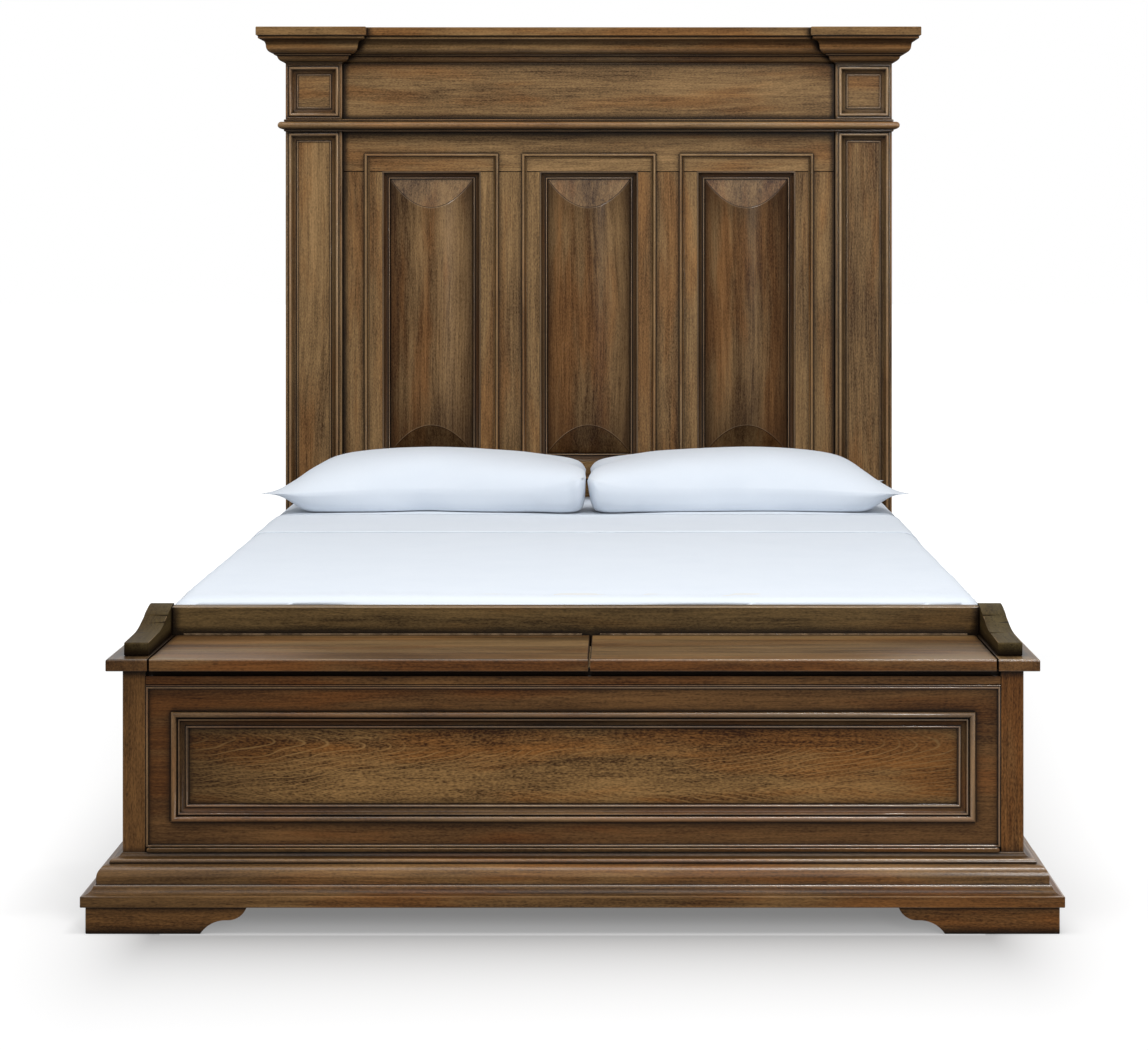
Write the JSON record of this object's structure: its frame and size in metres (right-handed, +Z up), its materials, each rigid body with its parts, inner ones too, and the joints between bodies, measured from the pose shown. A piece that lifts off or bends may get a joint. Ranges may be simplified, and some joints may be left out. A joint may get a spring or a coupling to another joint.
{
  "type": "storage bed",
  "caption": "Panel bed with a tall corniced headboard, hooked side rails, mattress and pillows, and a storage bench across the foot whose seat lids lift on continuous hinges.",
  "frame": {"origin": "on the floor, at the centre of the bed's overall footprint", "axes": "+Z up, +Y towards the headboard, -Y towards the storage bench at the foot, +X to the right seen from the foot"},
  "size_m": [1.762, 2.502, 1.791],
  "materials": {
    "walnut": "satin glazed walnut",
    "walnut_dark": "satin glazed walnut mouldings",
    "walnut_panel": "satin glazed walnut panels",
    "pine": "plain sanded pine",
    "steel": "zinc-plated steel",
    "bronze": "antique bronze plate",
    "ticking": "quilted ticking",
    "linen": "washed cotton"
  },
  "bodies": {
    "root": {"left_post": "walnut", "right_post": "walnut", "left_post_face": "walnut", "right_post_face": "walnut", "post_panel_mouldings": "walnut_dark", "post_panels": "walnut_panel", "cornice_boards": "walnut_dark", "left_crown": "walnut_dark", "centre_crown": "walnut_dark", "right_crown": "walnut_dark", "frieze_board": "walnut", "belt_moulding": "walnut_dark", "headboard_top_rail": "walnut", "headboard_bottom_rail": "walnut", "outer_stiles": "walnut", "mid_stiles": "walnut", "bead_frames": "walnut_dark", "panel_mouldings": "walnut_dark", "left_barrel_panel": "walnut_panel", "centre_barrel_panel": "walnut_panel", "right_barrel_panel": "walnut_panel", "headboard_back": "walnut", "bench_corner_posts": "walnut", "bench_front_board": "walnut", "bench_rail_strip": "walnut", "bench_field_bead": "walnut_dark", "bench_frame_moulding": "walnut_dark", "bench_front_panel": "walnut_panel", "left_bench_end": "walnut", "right_bench_end": "walnut", "bench_back": "walnut", "bench_floor": "pine", "bench_divider": "pine", "left_end_cap": "walnut", "right_end_cap": "walnut", "left_arm": "walnut", "right_arm": "walnut", "backboard": "walnut", "backboard_leaves": "bronze", "hinge_pins": "steel", "backboard_screws": "bronze", "base_moulding": "walnut_dark", "front_feet": "walnut_dark", "rear_feet": "walnut_dark", "side_rails": "walnut", "rail_hooks": "steel", "hook_plates": "steel", "ledgers": "pine", "slats": "pine", "centre_beam": "pine", "centre_legs": "pine", "mattress": "ticking", "sheet": "linen", "pillows": "linen"},
    "left_lid": {"left_lid": "walnut", "left_lid_leaf": "bronze", "left_lid_screws": "bronze"},
    "right_lid": {"right_lid": "walnut", "right_lid_leaf": "bronze", "right_lid_screws": "bronze"}
  },
  "joints": [
    {"name": "left_lid_hinge", "type": "hinge", "parent": "root", "child": "left_lid", "pos_m": [-0.3655, -0.9197, 0.484], "axis": [-1, 0, 0], "range_deg": [0, 92]},
    {"name": "right_lid_hinge", "type": "hinge", "parent": "root", "child": "right_lid", "pos_m": [0.3945, -0.9197, 0.484], "axis": [-1, 0, 0], "range_deg": [0, 92]}
  ]
}
